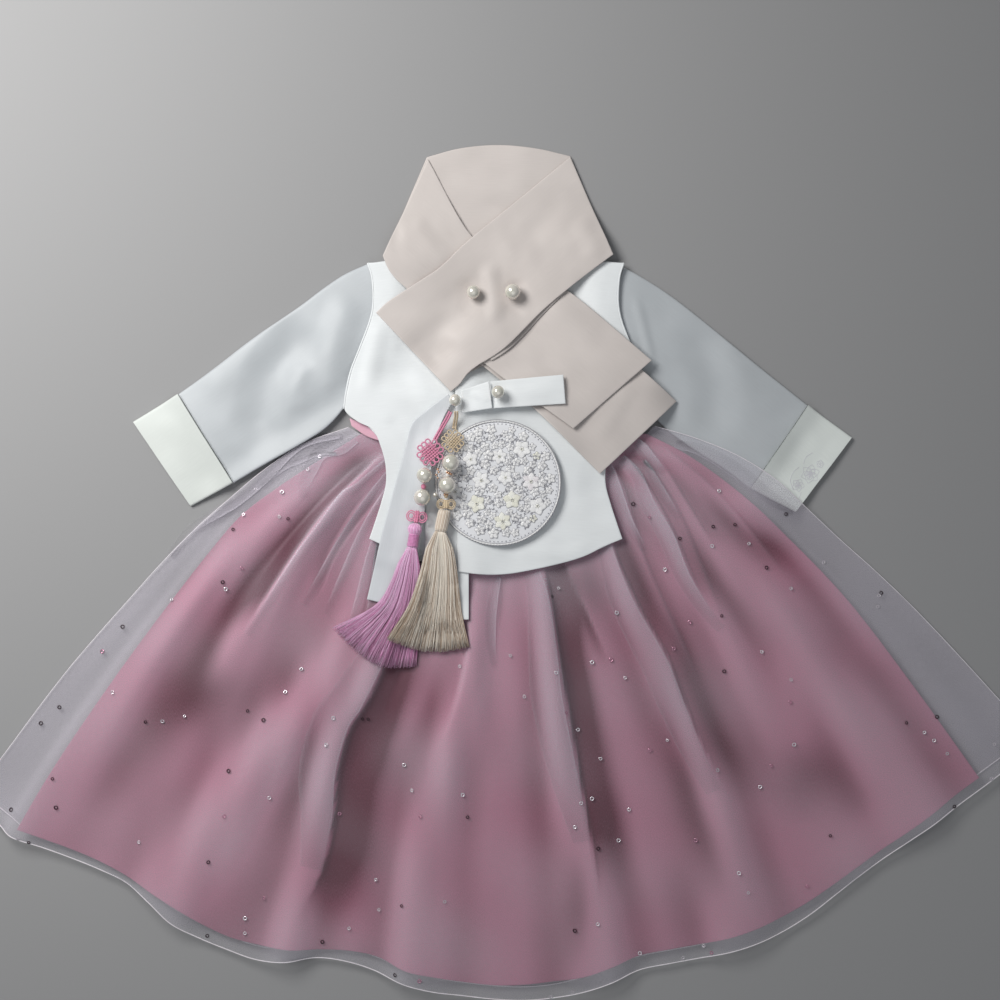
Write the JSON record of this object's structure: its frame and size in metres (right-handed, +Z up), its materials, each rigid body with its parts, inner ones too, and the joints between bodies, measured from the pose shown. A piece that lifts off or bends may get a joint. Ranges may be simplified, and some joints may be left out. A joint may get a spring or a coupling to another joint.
{
  "type": "korean hanbok",
  "caption": "Small girl's hanbok laid flat: satin jacket with crossed neck scarf, long ties, round embroidered patch and tasselled ornaments over a full pink skirt under sheer organza.",
  "frame": {"origin": "on the surface that the garment lies on, straight below the centre of the round embroidered patch, at the underside of the skirt's sheer back panel", "axes": "+X across the garment towards the wearer's left sleeve, +Y up the garment towards the neck, +Z up off the surface"},
  "size_m": [0.954, 0.7679, 0.0389],
  "materials": {
    "organza": "sheer crisp organza with scattered sequins",
    "lining": "matt plain-weave dusty rose lining",
    "waistband": "plain-weave saturated pink",
    "satin": "cool white satin",
    "cuff": "ivory satin",
    "scarf": "nude pink satin",
    "patch": "raised silk and cord embroidery",
    "pearl": "glossy imitation pearl",
    "pink_silk": "braided pink silk cord",
    "beige_silk": "braided gold-beige silk cord",
    "pink_thread": "glossy orchid pink tassel thread",
    "beige_thread": "glossy beige tassel thread"
  },
  "bodies": {
    "root": {"beige_butterfly_knot": "beige_silk", "beige_cord": "beige_silk", "beige_lattice_knot": "beige_silk", "beige_pearl_1": "pearl", "beige_pearl_2": "pearl", "beige_spacer": "beige_silk", "beige_tassel": "beige_thread", "cuff_left": "cuff", "cuff_right": "cuff", "embroidered_patch": "patch", "jacket_back": "satin", "jacket_over_front": "satin", "jacket_under_front": "satin", "knot_pearl": "pearl", "lining_back": "lining", "lining_front": "lining", "organza_back": "organza", "organza_front": "organza", "pink_butterfly_knot": "pink_silk", "pink_cord": "pink_silk", "pink_lattice_knot": "pink_silk", "pink_pearl_1": "pearl", "pink_pearl_2": "pearl", "pink_spacer": "pink_silk", "pink_tassel": "pink_thread", "scarf_back_stretch": "scarf", "scarf_lower_tail": "scarf", "scarf_over_stretch": "scarf", "scarf_pearl_left": "pearl", "scarf_pearl_right": "pearl", "scarf_under_stretch": "scarf", "sleeve_left": "satin", "sleeve_right": "satin", "tab_pearl": "pearl", "tie_knot_wrap": "satin", "tie_long_tail": "satin", "tie_loop_tab": "satin", "tie_short_tail": "satin", "waistband": "waistband"}
  },
  "joints": []
}
